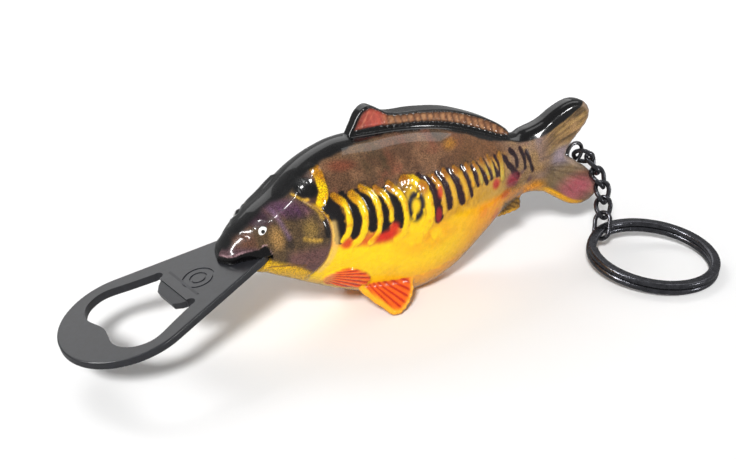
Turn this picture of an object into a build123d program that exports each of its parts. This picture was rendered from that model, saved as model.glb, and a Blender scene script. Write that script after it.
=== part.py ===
"""Bottle opener with a carp-shaped grip and a key ring on a short chain.

Millimetres, +Z up.  The long axis of the fish runs along X, mouth towards -X and tail
towards +X.  The working frame below has x = 0 at the tip of the opener plate, y = 0 on
the middle plane of the fish and z = 0 at the table; everything is moved to the centre
of the base of the whole object just before it is written.
"""

import math
import os

from build123d import *

os.makedirs("parts", exist_ok=True)

# ---- opener plate ------------------------------------------------------------
HEAD_R = 13.0  # round head of the opener
PLATE_T = 1.6  # sheet thickness
PLATE_TILT = 15.3  # degrees, the tip hangs down
TIP_Z = 9.3  # top face of the plate above the table, at the tip
TAPER = 16.2  # degrees, half angle between the two straight sides
BLADE_END = 27.0  # from head centre to where the tang starts
TANG_END = 47.0  # from head centre to the end of the tang
TANG_HALF = 4.2  # half width of the tang
NOTCH_R = 1.3  # half-round notches in the tang's sides
NOTCH_U = 38.0  # their place along the tang
TAB_ROOT = 11.2  # where the hook tab leaves the plate
TAB_LENGTH = 3.6
TAB_DROP = 12.0  # degrees, the hook is pressed down
TAB_ROOT_HALF = 5.2
TAB_TIP_HALF = 3.4
EDGE_R = 0.3
MARK_U = 14.6  # centre of the engraved rings
MARK_DEPTH = 0.2
MARK_RADII = (2.9, 1.5)
MARK_GROOVE = 0.4

# ---- fish body: x, top z, bottom z, half width ---------------------------------
BODY_SECTIONS = (
    (32.6, 20.8, 18.4, 1.7),
    (34.4, 23.2, 17.4, 3.6),
    (38.0, 26.0, 15.0, 6.3),
    (43.0, 28.9, 12.6, 8.1),
    (49.0, 33.4, 9.4, 9.2),
    (56.0, 36.2, 6.0, 9.8),
    (66.0, 36.5, 2.2, 9.9),
    (76.0, 35.8, 0.3, 9.4),
    (84.0, 34.0, 2.3, 8.2),
    (92.0, 31.0, 7.2, 6.4),
    (99.0, 28.5, 12.0, 4.6),
    (105.0, 27.6, 14.4, 3.4),
    (111.0, 27.0, 14.8, 2.0),
)
NOSE_X = 32.0
NOSE_Z = 19.6

# ---- fins ----------------------------------------------------------------------
DORSAL_HALF = 2.0
DORSAL_ROUND = 0.7
DORSAL = (
    (60.0, 35.8),
    (61.2, 38.8),
    (62.6, 41.0),
    (64.5, 41.9),
    (66.6, 41.0),
    (69.2, 39.6),
    (76.0, 38.8),
    (83.4, 37.4),
    (89.2, 35.3),
    (94.3, 32.9),
    (98.0, 30.5),
    (99.3, 29.0),
    (98.4, 27.4),
    (92.0, 28.0),
    (78.0, 32.0),
    (63.0, 32.5),
)
TAIL_HALF = 2.0
TAIL_ROUND = 1.5
TAIL = (
    (103.5, 27.4),
    (108.6, 29.2),
    (113.0, 31.3),
    (117.0, 32.3),
    (120.3, 31.5),
    (122.0, 29.4),
    (121.6, 27.0),
    (119.6, 24.8),
    (117.2, 22.6),
    (116.0, 20.6),
    (119.0, 18.3),
    (123.4, 15.0),
    (125.9, 11.5),
    (125.2, 8.7),
    (121.6, 7.4),
    (117.7, 8.4),
    (112.6, 11.6),
    (108.4, 14.0),
    (104.0, 15.0),
)
ANAL_HALF = 1.0
ANAL = (
    (95.0, 9.6),
    (98.0, 9.9),
    (101.4, 10.0),
    (104.0, 10.5),
    (104.3, 12.0),
    (103.2, 15.4),
    (97.0, 15.4),
)
PELVIC_T = 1.5
PELVIC_LEAN = 30.0  # degrees from straight down
PELVIC_ROOT = (59.0, 5.2, 7.2)
PELVIC = (
    (0.6, -2.6),
    (0.0, 0.4),
    (3.6, 5.2),
    (6.6, 7.85),
    (9.8, 6.6),
    (12.2, 3.4),
    (11.6, -0.4),
    (9.0, -2.6),
)
PECTORAL_ROOT = (50.6, 13.6)
PECTORAL_LENGTH = 9.6
PECTORAL_T = 2.6
PECTORAL_Y = 8.35
PECTORAL_Z = 11.4
PECTORAL_LEAN = 26.0

# ---- mouth, eyes, inside -------------------------------------------------------
LIP_X = 38.4  # front of the lower jaw
MOUTH_END = 41.6  # back of the mouth cavity
FIT = 0.08  # clearance between a set-in part and its pocket
EYE_X, EYE_Y, EYE_Z = 38.57, 4.87, 24.18
EYE_R = 1.05
EYE_DEPTH = 1.6
EYE_DOME = 0.45
EYE_TURN = 16.0  # degrees, the eyes look a little forwards
EYE_LIFT = 18.0  # degrees, and a little upwards
PEG_R = 1.2
PEG_REACH = 2.4
PEGS = ((52.0, 31.0), (63.0, 11.0), (90.0, 18.0))

# ---- eyelet, chain and ring ----------------------------------------------------
EYELET_WIRE = 0.85
EYELET_OD = 5.0
EYELET_AT = (119.7, 0.0, 19.6)
SHANK_END = 108.0
JUMP_WIRE = 0.95
JUMP_OD = 4.87
LINK_WIRE = 1.0
LINK_LENGTH = 5.6
LINK_WIDTH = 4.1
LINK_TWIST = -38.0  # degrees at the link's upper end, the opposite at the lower
LINK_GAP = 0.2  # play between two wires that hang in each other
OVAL_WIRE = 0.95
OVAL_WIDTH = 4.4
OVAL_LENGTH = 6.8
RING_OD = 28.0
RING_RADIAL = 2.1
COIL_H = 1.25
COIL_GAP = 0.05
COIL_CORNER = 0.5
CRANK_FROM = -9.3  # degrees round the ring from the link, upper coil side
CRANK_TO = 44.7  # lower coil side
RING_LIFT = 0.35  # ring wire's middle above that centre, along the link
RING_TILT = 6.8  # degrees, the chain holds one side of the ring up
RING_SIDE = 103.8  # degrees, direction from the ring's centre to the link
LINK_FOOT = (119.45, -10.2, 4.7)  # centre of the oval link's lower round end
OVAL_RISE = (0.445, 0.434, 0.784)  # direction from the ring up the oval link
LINK_RISES = (
    (-0.14, 0.566, 0.889),
    (0.066, 0.744, 0.767),
    (0.31, 0.53, 0.79),
    (0.40, 0.48, 0.78),
)  # directions up each link, link 1 first
LINK_TURNS = (48.3, 9.8, -6.1, -27.0)  # degrees, each link's width seen from above
JUMP_SLACK = 0.08  # the ring does not pull tight on link 1
JUMP_REACH = (0.75, -0.526, -0.401)  # from the jump ring's centre to link 1
JUMP_CROSS = (0.078, 0.672, -0.736)  # direction of its wire at link 1


def rad(angle):
    return math.radians(angle)


def upright(points, half):
    """A slab across the middle plane from an outline given as (x, z) points."""
    wire = Spline(*[(x, 0, z) for x, z in points], periodic=True)
    face = make_face(wire)
    return extrude(face, amount=half, both=True)


# ---- opener plate ----------------------------------------------------------------
tilt = rad(PLATE_TILT)
head_centre = Vector(HEAD_R * math.cos(tilt), 0, TIP_Z + HEAD_R * math.sin(tilt))
plate_plane = Plane(
    origin=head_centre,
    x_dir=(math.cos(tilt), 0, math.sin(tilt)),
    z_dir=(-math.sin(tilt), 0, math.cos(tilt)),
)


def side_half(u):
    return (HEAD_R - u * math.sin(rad(TAPER))) / math.cos(rad(TAPER))


touch_u = HEAD_R * math.sin(rad(TAPER))
blade = Polygon(
    (touch_u, side_half(touch_u)),
    (touch_u, -side_half(touch_u)),
    (BLADE_END, -side_half(BLADE_END)),
    (BLADE_END, side_half(BLADE_END)),
    align=None,
)
tang = Polygon(
    (BLADE_END - 1, side_half(BLADE_END)),
    (BLADE_END - 1, -side_half(BLADE_END)),
    (BLADE_END + 2.5, -TANG_HALF),
    (TANG_END - 2, -TANG_HALF),
    (TANG_END, -TANG_HALF + 2),
    (TANG_END, TANG_HALF - 2),
    (TANG_END - 2, TANG_HALF),
    (BLADE_END + 2.5, TANG_HALF),
    align=None,
)
notch_places = [Location((NOTCH_U, s * TANG_HALF, 0)) for s in (-1, 1)]
outline = Circle(HEAD_R) + blade + tang
outline -= [place * Circle(NOTCH_R) for place in notch_places]

lobe_points = (
    (8.9, 7.5),
    (6.6, 8.3),
    (4.2, 9.2),
    (2.2, 10.0),
    (0.0, 10.5),
    (-1.9, 10.2),
    (-3.5, 9.4),
    (-4.8, 8.0),
    (-5.6, 6.2),
    (-5.7, 4.6),
    (-5.2, 2.4),
    (-4.8, 0.0),
)
round_lobes = list(lobe_points) + [(u, -v) for u, v in reversed(lobe_points[:-1])]
opening_edges = [
    Spline(*round_lobes),
    Line((8.9, -7.5), (9.7, -7.2)),
    ThreePointArc((9.7, -7.2), (10.8, -6.2), (9.7, -TAB_ROOT_HALF)),
    Line((9.7, -TAB_ROOT_HALF), (9.7, TAB_ROOT_HALF)),
    ThreePointArc((9.7, TAB_ROOT_HALF), (10.8, 6.2), (9.7, 7.2)),
    Line((9.7, 7.2), (8.9, 7.5)),
]
opening = make_face(Wire(opening_edges))
outer_solid = extrude(outline, amount=PLATE_T, dir=(0, 0, -1))
rim_edges = outer_solid.edges().filter_by(
    lambda e: abs(e.tangent_at(0.5).Z) < 0.1 and e.center().X < BLADE_END - 1
)
outer_solid = fillet(rim_edges, EDGE_R)
plate = outer_solid - extrude(opening, amount=2 * PLATE_T, dir=(0, 0, -1))

tab_outline = Polygon(
    (1.0, TAB_ROOT_HALF + 0.2),
    (1.0, -TAB_ROOT_HALF - 0.2),
    (-1.2, -TAB_ROOT_HALF),
    (-TAB_LENGTH + 1.0, -TAB_TIP_HALF - 0.7),
    (-TAB_LENGTH, -TAB_TIP_HALF + 0.6),
    (-TAB_LENGTH, TAB_TIP_HALF - 0.6),
    (-TAB_LENGTH + 1.0, TAB_TIP_HALF + 0.7),
    (-1.2, TAB_ROOT_HALF),
    align=None,
)
tab = extrude(tab_outline, amount=PLATE_T * 0.9, dir=(0, 0, -1))
tab = Location((TAB_ROOT, 0, -0.1)) * (Rotation(0, -TAB_DROP, 0) * tab)
plate += tab

for radius in MARK_RADII:
    groove = Circle(radius + MARK_GROOVE / 2) - Circle(radius - MARK_GROOVE / 2)
    cutter = extrude(groove, amount=-MARK_DEPTH)
    plate -= Location((MARK_U, -1.0, 0)) * cutter

opener_plate = plate_plane * plate

# ---- fish body ---------------------------------------------------------------------
sections = [Vertex(NOSE_X, 0, NOSE_Z)]
for x, top, bottom, half in BODY_SECTIONS:
    centre = (x, 0, (top + bottom) / 2)
    ring_plane = Plane(origin=centre, x_dir=(0, 1, 0), z_dir=(1, 0, 0))
    sections.append(ring_plane * Ellipse(half, (top - bottom) / 2))
body = loft(sections)

dorsal = upright(DORSAL, DORSAL_HALF)
dorsal = fillet(dorsal.edges().filter_by(lambda e: abs(e.center().Y) > 1), DORSAL_ROUND)
tail = upright(TAIL, TAIL_HALF)
tail = fillet(tail.edges().filter_by(lambda e: abs(e.center().Y) > 1), TAIL_ROUND)
anal = upright(ANAL, ANAL_HALF)
body = body + dorsal + tail + anal

lean = rad(PELVIC_LEAN)
pectoral_lean = rad(PECTORAL_LEAN)
for side in (-1, 1):
    root = (PELVIC_ROOT[0], side * PELVIC_ROOT[1], PELVIC_ROOT[2])
    down = Vector(0, side * math.sin(lean), -math.cos(lean))
    fin_plane = Plane(origin=root, x_dir=(1, 0, 0), z_dir=Vector(1, 0, 0).cross(down))
    fin = make_face(Spline(*PELVIC, periodic=True))
    body += fin_plane * extrude(fin, amount=PELVIC_T / 2, both=True)

    out = Vector(0, side * math.cos(pectoral_lean), -math.sin(pectoral_lean))
    at = (PECTORAL_ROOT[0], side * PECTORAL_Y, PECTORAL_Z)
    fan_plane = Plane(origin=at, x_dir=(1, 0, 0), z_dir=out)
    fan = make_face(
        Spline(
            (0.0, side * 1.6),
            (4.6, side * 1.3),
            (9.0, side * -0.4),
            (8.4, side * -2.6),
            (5.0, side * -3.6),
            (1.6, side * -1.0),
            periodic=True,
        )
    )
    body += fan_plane * extrude(fan, amount=-PECTORAL_T)


def plate_z(x):
    """Height of the plate's top face."""
    return head_centre.Z + (x - head_centre.X) * math.tan(tilt)


drop = PLATE_T / math.cos(tilt)
mouth_outline = Polyline(
    (NOSE_X - 4, plate_z(NOSE_X - 4) + 0.2),
    (NOSE_X - 4, 4.0),
    (LIP_X - 0.6, 4.0),
    (LIP_X, plate_z(LIP_X) - drop - FIT),
    (MOUTH_END, plate_z(MOUTH_END) - drop - FIT),
    (MOUTH_END, plate_z(MOUTH_END) + FIT),
    (39.4, plate_z(39.4) + 1.2),
    (36.2, plate_z(36.2) + 1.0),
    close=True,
)
mouth = extrude(Plane.XZ * make_face(mouth_outline), amount=15, both=True)
body -= mouth

pocket = extrude(offset(outline, FIT), amount=PLATE_T + 2 * FIT)
body -= plate_plane * (Location((0, 0, -PLATE_T - FIT)) * pocket)

eyes = {}
for side in (-1, 1):
    turn = rad(EYE_TURN)
    lift = rad(EYE_LIFT)
    look = Vector(
        -math.sin(turn) * math.cos(lift),
        side * math.cos(turn) * math.cos(lift),
        math.sin(lift),
    )
    start = Vector(EYE_X, side * EYE_Y, EYE_Z) - look * EYE_DEPTH
    eye_plane = Plane(origin=start, z_dir=look)
    body -= eye_plane * extrude(Circle(EYE_R + FIT), amount=EYE_DEPTH + 6)
    dome_r = (EYE_R**2 + EYE_DOME**2) / (2 * EYE_DOME)
    stem = extrude(Circle(EYE_R), amount=EYE_DEPTH + EYE_DOME)
    dome = Location((0, 0, EYE_DEPTH + EYE_DOME - dome_r)) * Sphere(dome_r)
    eyes[side] = eye_plane * (Location((0, 0, FIT)) * (stem & dome))

# ---- eyelet ------------------------------------------------------------------------
eyelet_plane = Plane(origin=EYELET_AT, x_dir=(1, 0, 0), z_dir=(0, -1, 0))
eyelet_mean = (EYELET_OD - EYELET_WIRE) / 2


def make_eyelet(wire_r):
    loop = eyelet_plane * Torus(eyelet_mean, wire_r)
    length = EYELET_AT[0] - eyelet_mean - SHANK_END
    shank_plane = Plane(origin=(SHANK_END, 0, EYELET_AT[2]), z_dir=(1, 0, 0))
    shank = shank_plane * extrude(Circle(wire_r), amount=length)
    foot_plane = Plane(origin=(SHANK_END, 0, EYELET_AT[2] - 2.5), z_dir=(0, 0, 1))
    foot = foot_plane * extrude(Circle(wire_r), amount=5.0)
    return loop + shank + foot


tail_eyelet = make_eyelet(EYELET_WIRE / 2)
body -= make_eyelet(EYELET_WIRE / 2 + FIT)

# ---- two halves with locating pegs ---------------------------------------------------
big = Box(300, 60, 120, align=(Align.CENTER, Align.MAX, Align.CENTER))
left_half = body & big
right_half = body - big
for x, z in PEGS:
    peg_plane = Plane(origin=(x, -0.5, z), z_dir=(0, 1, 0))
    left_half += peg_plane * extrude(Circle(PEG_R), amount=PEG_REACH + 0.5)
    hole_plane = Plane(origin=(x, 0, z), z_dir=(0, 1, 0))
    right_half -= hole_plane * extrude(Circle(PEG_R + FIT), amount=PEG_REACH + 0.3)

# ---- chain ---------------------------------------------------------------------------
def twisted_link(centre, rise, turn):
    """A closed wire oval whose two ends are twisted opposite ways."""
    width = Vector(math.cos(rad(turn)), math.sin(rad(turn)), 0)
    width = (width - rise * width.dot(rise)).normalized()
    across = rise.cross(width)
    half_l = (LINK_LENGTH - LINK_WIRE) / 2
    half_w = (LINK_WIDTH - LINK_WIRE) / 2

    def wire_point(angle):
        side = half_w * math.sin(angle) * (1.25 - 0.25 * math.sin(angle) ** 2)
        twist = rad(LINK_TWIST) * math.cos(angle)
        out = width * math.cos(twist) + across * math.sin(twist)
        return centre + rise * (half_l * math.cos(angle)) + out * side

    link = Part()
    for first in (-math.pi / 2, math.pi / 2):
        angles = [first + math.pi * step / 8 for step in range(9)]
        ends = [wire_point(a + 0.01) - wire_point(a - 0.01) for a in (angles[0], angles[-1])]
        path = Spline(*[wire_point(a) for a in angles], tangents=ends)
        start = Plane(origin=path @ 0, z_dir=path % 0)
        link += sweep(start * Circle(LINK_WIRE / 2), path=path)
    return link


def oval_link(foot, rise, side):
    """A flat wire link with straight sides and round ends."""
    width = (side - rise * side.dot(rise)).normalized()
    plane = Plane(origin=foot, x_dir=rise, z_dir=rise.cross(width))
    end_r = (OVAL_WIDTH - OVAL_WIRE) / 2
    straight = OVAL_LENGTH - OVAL_WIDTH
    far = straight + end_r
    loop = Wire(
        [
            Line((0, -end_r), (straight, -end_r)),
            ThreePointArc((straight, -end_r), (far, 0), (straight, end_r)),
            Line((straight, end_r), (0, end_r)),
            ThreePointArc((0, end_r), (-end_r, 0), (0, -end_r)),
        ]
    )
    section = Plane(origin=(0.01, -end_r, 0), z_dir=(1, 0, 0)) * Circle(OVAL_WIRE / 2)
    return plane * sweep(section, path=loop)


ring_out = Vector(math.cos(rad(RING_SIDE)), math.sin(rad(RING_SIDE)), 0)
foot = Vector(*LINK_FOOT)
oval_rise = Vector(*OVAL_RISE).normalized()
connecting_link = oval_link(foot, oval_rise, ring_out)

play = (LINK_WIRE + LINK_GAP) / 2
top_wire = OVAL_LENGTH - OVAL_WIDTH + (OVAL_WIDTH - OVAL_WIRE) / 2
pivot = foot + oval_rise * (top_wire - (OVAL_WIRE + LINK_GAP) / 2)
pitch = LINK_LENGTH - LINK_WIRE - 2 * play
links = {}
for number in (4, 3, 2, 1):
    rise = Vector(*LINK_RISES[number - 1]).normalized()
    middle = pivot + rise * (pitch / 2)
    links[number] = twisted_link(middle, rise, LINK_TURNS[number - 1])
    pivot = pivot + rise * pitch

reach = Vector(*JUMP_REACH).normalized()
cross = Vector(*JUMP_CROSS)
cross = (cross - reach * cross.dot(reach)).normalized()
jump_mean = (JUMP_OD - JUMP_WIRE) / 2
jump_centre = pivot - rise * (play + JUMP_SLACK) - reach * jump_mean
jump_plane = Plane(origin=jump_centre, x_dir=reach, z_dir=reach.cross(cross))
jump_ring = jump_plane * Torus(jump_mean, JUMP_WIRE / 2)

# ---- split ring ------------------------------------------------------------------------
ring_mean = (RING_OD - RING_RADIAL) / 2
coil_rise = COIL_H + COIL_GAP
profile = RectangleRounded(RING_RADIAL, COIL_H, COIL_CORNER)


def crank_height(angle):
    """Height of the coil's middle where it steps from the upper turn to the lower."""
    t = (angle - CRANK_FROM) / (CRANK_TO - CRANK_FROM)
    return COIL_H / 2 + coil_rise * (1 - t * t * (3 - 2 * t))


def coil_section(angle, height):
    turned = Rotation(0, 0, angle) * Location((ring_mean, 0, height))
    return turned * (Rotation(90, 0, 0) * profile)


sweep_angle = 360 - (CRANK_TO - CRANK_FROM)
turns = []
for height in (COIL_H / 2, COIL_H / 2 + coil_rise):
    turns.append(revolve(coil_section(CRANK_TO, height), Axis.Z, sweep_angle))
crank_steps = [CRANK_FROM + (CRANK_TO - CRANK_FROM) * k / 8 for k in range(9)]
crank = loft([coil_section(angle, crank_height(angle)) for angle in crank_steps])
coil = turns[0] + turns[1] + crank

tilt_ring = rad(RING_TILT)
ring_x = ring_out * math.cos(tilt_ring) + Vector(0, 0, math.sin(tilt_ring))
ring_z = Vector(0, 0, math.cos(tilt_ring)) - ring_out * math.sin(tilt_ring)
ring_centre = foot + oval_rise * RING_LIFT - ring_x * ring_mean - ring_z * crank_height(0)
split_ring = Plane(origin=ring_centre, x_dir=ring_x, z_dir=ring_z) * coil

# ---- everything moved to the centre of the base and written ----------------------------
parts = {
    "opener_plate": opener_plate,
    "body_left_half": left_half,
    "body_right_half": right_half,
    "left_eye": eyes[-1],
    "right_eye": eyes[1],
    "tail_eyelet": tail_eyelet,
    "jump_ring": jump_ring,
    "connecting_link": connecting_link,
    "split_ring": split_ring,
}
for number, link in links.items():
    parts[f"chain_link_{number}"] = link
boxes = [shape.bounding_box() for shape in parts.values()]
mid_x = (min(b.min.X for b in boxes) + max(b.max.X for b in boxes)) / 2
mid_y = (min(b.min.Y for b in boxes) + max(b.max.Y for b in boxes)) / 2
home = Location((-mid_x, -mid_y, -min(b.min.Z for b in boxes)))
for name, shape in parts.items():
    export_step(home * shape, f"parts/{name}.step")
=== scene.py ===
import math

import bmesh
import bpy
import numpy as np
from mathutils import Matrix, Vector


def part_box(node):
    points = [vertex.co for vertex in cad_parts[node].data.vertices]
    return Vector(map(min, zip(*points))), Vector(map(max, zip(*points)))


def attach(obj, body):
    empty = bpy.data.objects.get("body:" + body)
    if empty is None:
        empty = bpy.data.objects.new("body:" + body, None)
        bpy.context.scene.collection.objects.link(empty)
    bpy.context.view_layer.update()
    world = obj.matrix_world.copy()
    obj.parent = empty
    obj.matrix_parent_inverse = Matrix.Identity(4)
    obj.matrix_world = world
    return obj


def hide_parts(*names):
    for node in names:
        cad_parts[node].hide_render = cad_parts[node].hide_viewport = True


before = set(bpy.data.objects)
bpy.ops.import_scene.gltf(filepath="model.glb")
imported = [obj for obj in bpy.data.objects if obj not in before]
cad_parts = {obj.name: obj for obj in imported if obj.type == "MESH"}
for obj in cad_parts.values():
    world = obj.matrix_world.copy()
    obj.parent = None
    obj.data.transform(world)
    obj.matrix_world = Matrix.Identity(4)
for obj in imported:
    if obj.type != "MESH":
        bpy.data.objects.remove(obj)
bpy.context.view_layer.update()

# All shapes below are worked in millimetres in a frame with x = 0 at the tip of the opener
# plate, y = 0 on the fish's middle plane and z = 0 at the table; to_row() puts them in the
# row frame in metres.
plate_low, plate_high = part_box("opener_plate")
MM = 1000
PLATE_START_X = 0.07
PLATE_LOW_Z = 7.83
ORIGIN = np.array(
    [
        plate_low.x * MM - PLATE_START_X,
        (plate_low.y + plate_high.y) / 2 * MM,
        plate_low.z * MM - PLATE_LOW_Z,
    ]
)


def to_row(points):
    return (np.asarray(points, float) + ORIGIN) / MM


# ---- small number helpers ---------------------------------------------------------------
def step(low, high, value):
    """0 below low, 1 above high, smooth between."""
    t = np.clip((value - low) / (high - low), 0, 1)
    return t * t * (3 - 2 * t)


def through(x, xs, ys):
    """A smooth curve through the points (xs, ys), read at x."""
    xs = np.asarray(xs, float)
    ys = np.asarray(ys, float)
    slope = np.gradient(ys, xs)
    i = np.clip(np.searchsorted(xs, x) - 1, 0, len(xs) - 2)
    h = xs[i + 1] - xs[i]
    t = np.clip((x - xs[i]) / h, 0, 1)
    a = (2 * t**3 - 3 * t**2 + 1) * ys[i] + (t**3 - 2 * t**2 + t) * h * slope[i]
    b = (3 * t**2 - 2 * t**3) * ys[i + 1] + (t**3 - t**2) * h * slope[i + 1]
    return a + b


def round_outline(points, each=8):
    """A smooth closed outline through the points."""
    p = np.asarray(points, float)
    n = len(p)
    out = []
    for i in range(n):
        a, b, c, d = p[i - 1], p[i], p[(i + 1) % n], p[(i + 2) % n]
        span = np.linalg.norm(c - b)
        m1 = span * (c - a) / (np.linalg.norm(c - b) + np.linalg.norm(b - a))
        m2 = span * (d - b) / (np.linalg.norm(d - c) + np.linalg.norm(c - b))
        for t in np.linspace(0, 1, each, endpoint=False):
            p1 = (2 * t**3 - 3 * t**2 + 1) * b + (t**3 - 2 * t**2 + t) * m1
            out.append(p1 + (3 * t**2 - 2 * t**3) * c + (t**3 - t**2) * m2)
    return np.array(out)


def outline_distance(u, v, outline):
    """Signed distance to a closed outline, negative inside."""
    best = np.full(u.shape, 1e9)
    inside = np.zeros(u.shape, bool)
    for a, b in zip(outline, np.roll(outline, -1, axis=0)):
        d = b - a
        t = np.clip(((u - a[0]) * d[0] + (v - a[1]) * d[1]) / (d @ d + 1e-12), 0, 1)
        best = np.minimum(best, (u - a[0] - t * d[0]) ** 2 + (v - a[1] - t * d[1]) ** 2)
        if a[1] != b[1]:
            crosses = (a[1] > v) != (b[1] > v)
            inside ^= crosses & (u < a[0] + d[0] * (v - a[1]) / d[1])
    best = np.sqrt(best)
    return np.where(inside, -best, best)


def join(a, b, radius):
    """Union of two distance fields with a filleted valley."""
    h = np.clip(0.5 + 0.5 * (b - a) / radius, 0, 1)
    return b + (a - b) * h - radius * h * (1 - h)


def slab(outside, across, half, edge):
    """A slab of half thickness half with rounded edges, from its outline distance."""
    s = outside + edge
    h = np.abs(across) - half + edge
    return np.hypot(np.maximum(s, 0), np.maximum(h, 0)) + np.minimum(np.maximum(s, h), 0) - edge


def lattice(i, j, seed):
    """A fixed random value between 0 and 1 for each whole-number place."""
    n = (i * 374761393 + j * 668265263 + seed * 974634777) & 0xFFFFFFFF
    n = ((n ^ (n >> 13)) * 1274126177) & 0xFFFFFFFF
    return ((n ^ (n >> 16)) & 0xFFFF) / 65535.0


def noise(x, z, size, seed, octaves=3):
    """Smooth random values between 0 and 1."""
    total = np.zeros(np.shape(x))
    weight = 0.0
    for octave in range(octaves):
        u, v = x / size * 2**octave + 900, z / size * 2**octave + 900
        i, j = np.floor(u).astype(np.int64), np.floor(v).astype(np.int64)
        a, b = step(0, 1, u - i), step(0, 1, v - j)
        low = lattice(i, j, seed + octave) * (1 - a) + lattice(i + 1, j, seed + octave) * a
        high = lattice(i, j + 1, seed + octave) * (1 - a) + lattice(i + 1, j + 1, seed + octave) * a
        total += (low * (1 - b) + high * b) / 2**octave
        weight += 1 / 2**octave
    return total / weight


# ---- the fish's shape: x, top z, bottom z, half width -------------------------------------
SECTIONS = np.array(
    [
        (31.5, 18.8, 18.0, 0.1),
        (32.2, 20.4, 17.4, 2.2),
        (34.4, 23.1, 17.2, 4.1),
        (38.0, 26.0, 15.0, 6.3),
        (43.0, 28.9, 12.6, 8.1),
        (49.0, 33.4, 9.4, 9.2),
        (56.0, 36.2, 6.0, 9.8),
        (66.0, 36.5, 2.2, 9.9),
        (76.0, 35.8, 0.3, 9.4),
        (84.0, 34.0, 2.3, 8.2),
        (92.0, 31.0, 7.2, 6.4),
        (99.0, 28.5, 12.0, 4.6),
        (105.0, 27.6, 14.4, 3.4),
        (111.0, 27.0, 14.8, 2.0),
        (113.0, 24.0, 18.0, 0.6),
    ]
)
DORSAL = round_outline(
    [
        (60.0, 35.8),
        (61.2, 38.8),
        (62.6, 41.0),
        (64.5, 41.9),
        (66.6, 41.0),
        (69.2, 39.6),
        (76.0, 38.8),
        (83.4, 37.4),
        (89.2, 35.3),
        (94.3, 32.9),
        (98.0, 30.5),
        (99.3, 29.0),
        (98.4, 27.4),
        (92.0, 28.0),
        (78.0, 32.0),
        (63.0, 32.5),
    ]
)
TAIL = round_outline(
    [
        (103.5, 27.4),
        (108.6, 29.2),
        (113.0, 31.3),
        (117.0, 32.3),
        (120.3, 31.5),
        (122.0, 29.4),
        (121.6, 27.0),
        (119.6, 24.8),
        (117.2, 22.6),
        (116.0, 20.6),
        (119.0, 18.3),
        (123.4, 15.0),
        (125.9, 11.5),
        (125.2, 8.7),
        (121.6, 7.4),
        (117.7, 8.4),
        (112.6, 11.6),
        (108.4, 14.0),
        (104.0, 15.0),
    ]
)
ANAL = round_outline(
    [
        (95.0, 9.6),
        (98.0, 9.9),
        (101.4, 10.0),
        (104.0, 10.5),
        (104.3, 12.0),
        (103.2, 15.4),
        (97.0, 15.4),
    ]
)
PELVIC = round_outline(
    [
        (0.6, -2.6),
        (0.0, 0.4),
        (3.6, 5.2),
        (6.6, 7.85),
        (9.8, 6.6),
        (12.2, 3.4),
        (11.6, -0.4),
        (9.0, -2.6),
    ]
)
PECTORAL = round_outline(
    [
        (50.6, 12.6),
        (54.6, 13.6),
        (58.6, 11.6),
        (60.4, 9.6),
        (60.2, 8.2),
        (58.2, 7.4),
        (54.4, 8.8),
        (51.0, 10.6),
    ]
)
# the pelvic fin's outline is in its own plane, which leans out from this root
PELVIC_ROOT = (59.0, -5.2, 7.2)
PELVIC_LEAN = math.radians(30)
# the plate slopes down from the mouth; its round head's centre is on its upper face
PLATE_TILT = math.radians(15.3)
PLATE_THICKNESS = 1.6
HEAD_X, HEAD_Z = 12.54, 12.73
PLATE_DROP = PLATE_THICKNESS / math.cos(PLATE_TILT)


def plate_z(x):
    """Height of the plate's upper face."""
    return HEAD_Z + (x - HEAD_X) * math.tan(PLATE_TILT)


# what is cut away for the mouth: the plate, and all that is in front of the lower jaw
MOUTH_FRONT, MOUTH_FLOOR = 20.0, 2.0
LOWER_LIP, LIP_TOP, MOUTH_CORNER = 37.6, 38.2, 39.3
MOUTH_GAP = 0.05
MOUTH = np.array(
    [
        (MOUTH_FRONT, plate_z(MOUTH_FRONT) + MOUTH_GAP),
        (MOUTH_FRONT, MOUTH_FLOOR),
        (LOWER_LIP, MOUTH_FLOOR),
        (LIP_TOP, plate_z(LIP_TOP) - PLATE_DROP),
        (MOUTH_CORNER, plate_z(MOUTH_CORNER) - PLATE_DROP),
        (MOUTH_CORNER, plate_z(MOUTH_CORNER) + MOUTH_GAP),
    ]
)
OUTLINES = {
    "dorsal": DORSAL,
    "tail": TAIL,
    "anal": ANAL,
    "pelvic": PELVIC,
    "pectoral": PECTORAL,
    "mouth": MOUTH,
}
OUTLINE_REACH = 3.0
EYE_X, EYE_Y, EYE_Z = 38.57, 4.87, 24.18


def near_outline(name, u, v):
    """Distance to an outline, worked out only within reach of it."""
    outline = OUTLINES[name]
    low, high = outline.min(0) - OUTLINE_REACH, outline.max(0) + OUTLINE_REACH
    u, v = np.broadcast_arrays(u, v)
    out = np.full(u.shape, OUTLINE_REACH)
    near = (u > low[0]) & (u < high[0]) & (v > low[1]) & (v < high[1])
    out[near] = outline_distance(u[near], v[near], outline)
    return out


def body_field(x, y, z):
    """Distance to the body without its fins, from elliptic sections."""
    top = through(x, SECTIONS[:, 0], SECTIONS[:, 1])
    low = through(x, SECTIONS[:, 0], SECTIONS[:, 2])
    a = np.maximum(through(x, SECTIONS[:, 0], SECTIONS[:, 3]), 0.05)
    b = np.maximum((top - low) / 2, 0.05)
    v = z - (top + low) / 2
    k = np.sqrt((y / a) ** 2 + (v / b) ** 2) + 1e-9
    steep = np.sqrt((y / a**2) ** 2 + (v / b**2) ** 2) + 1e-9
    field = (k - 1) * k / steep
    beyond = np.maximum(SECTIONS[0, 0] - x, x - SECTIONS[-1, 0])
    return np.maximum(field, beyond)


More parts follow.
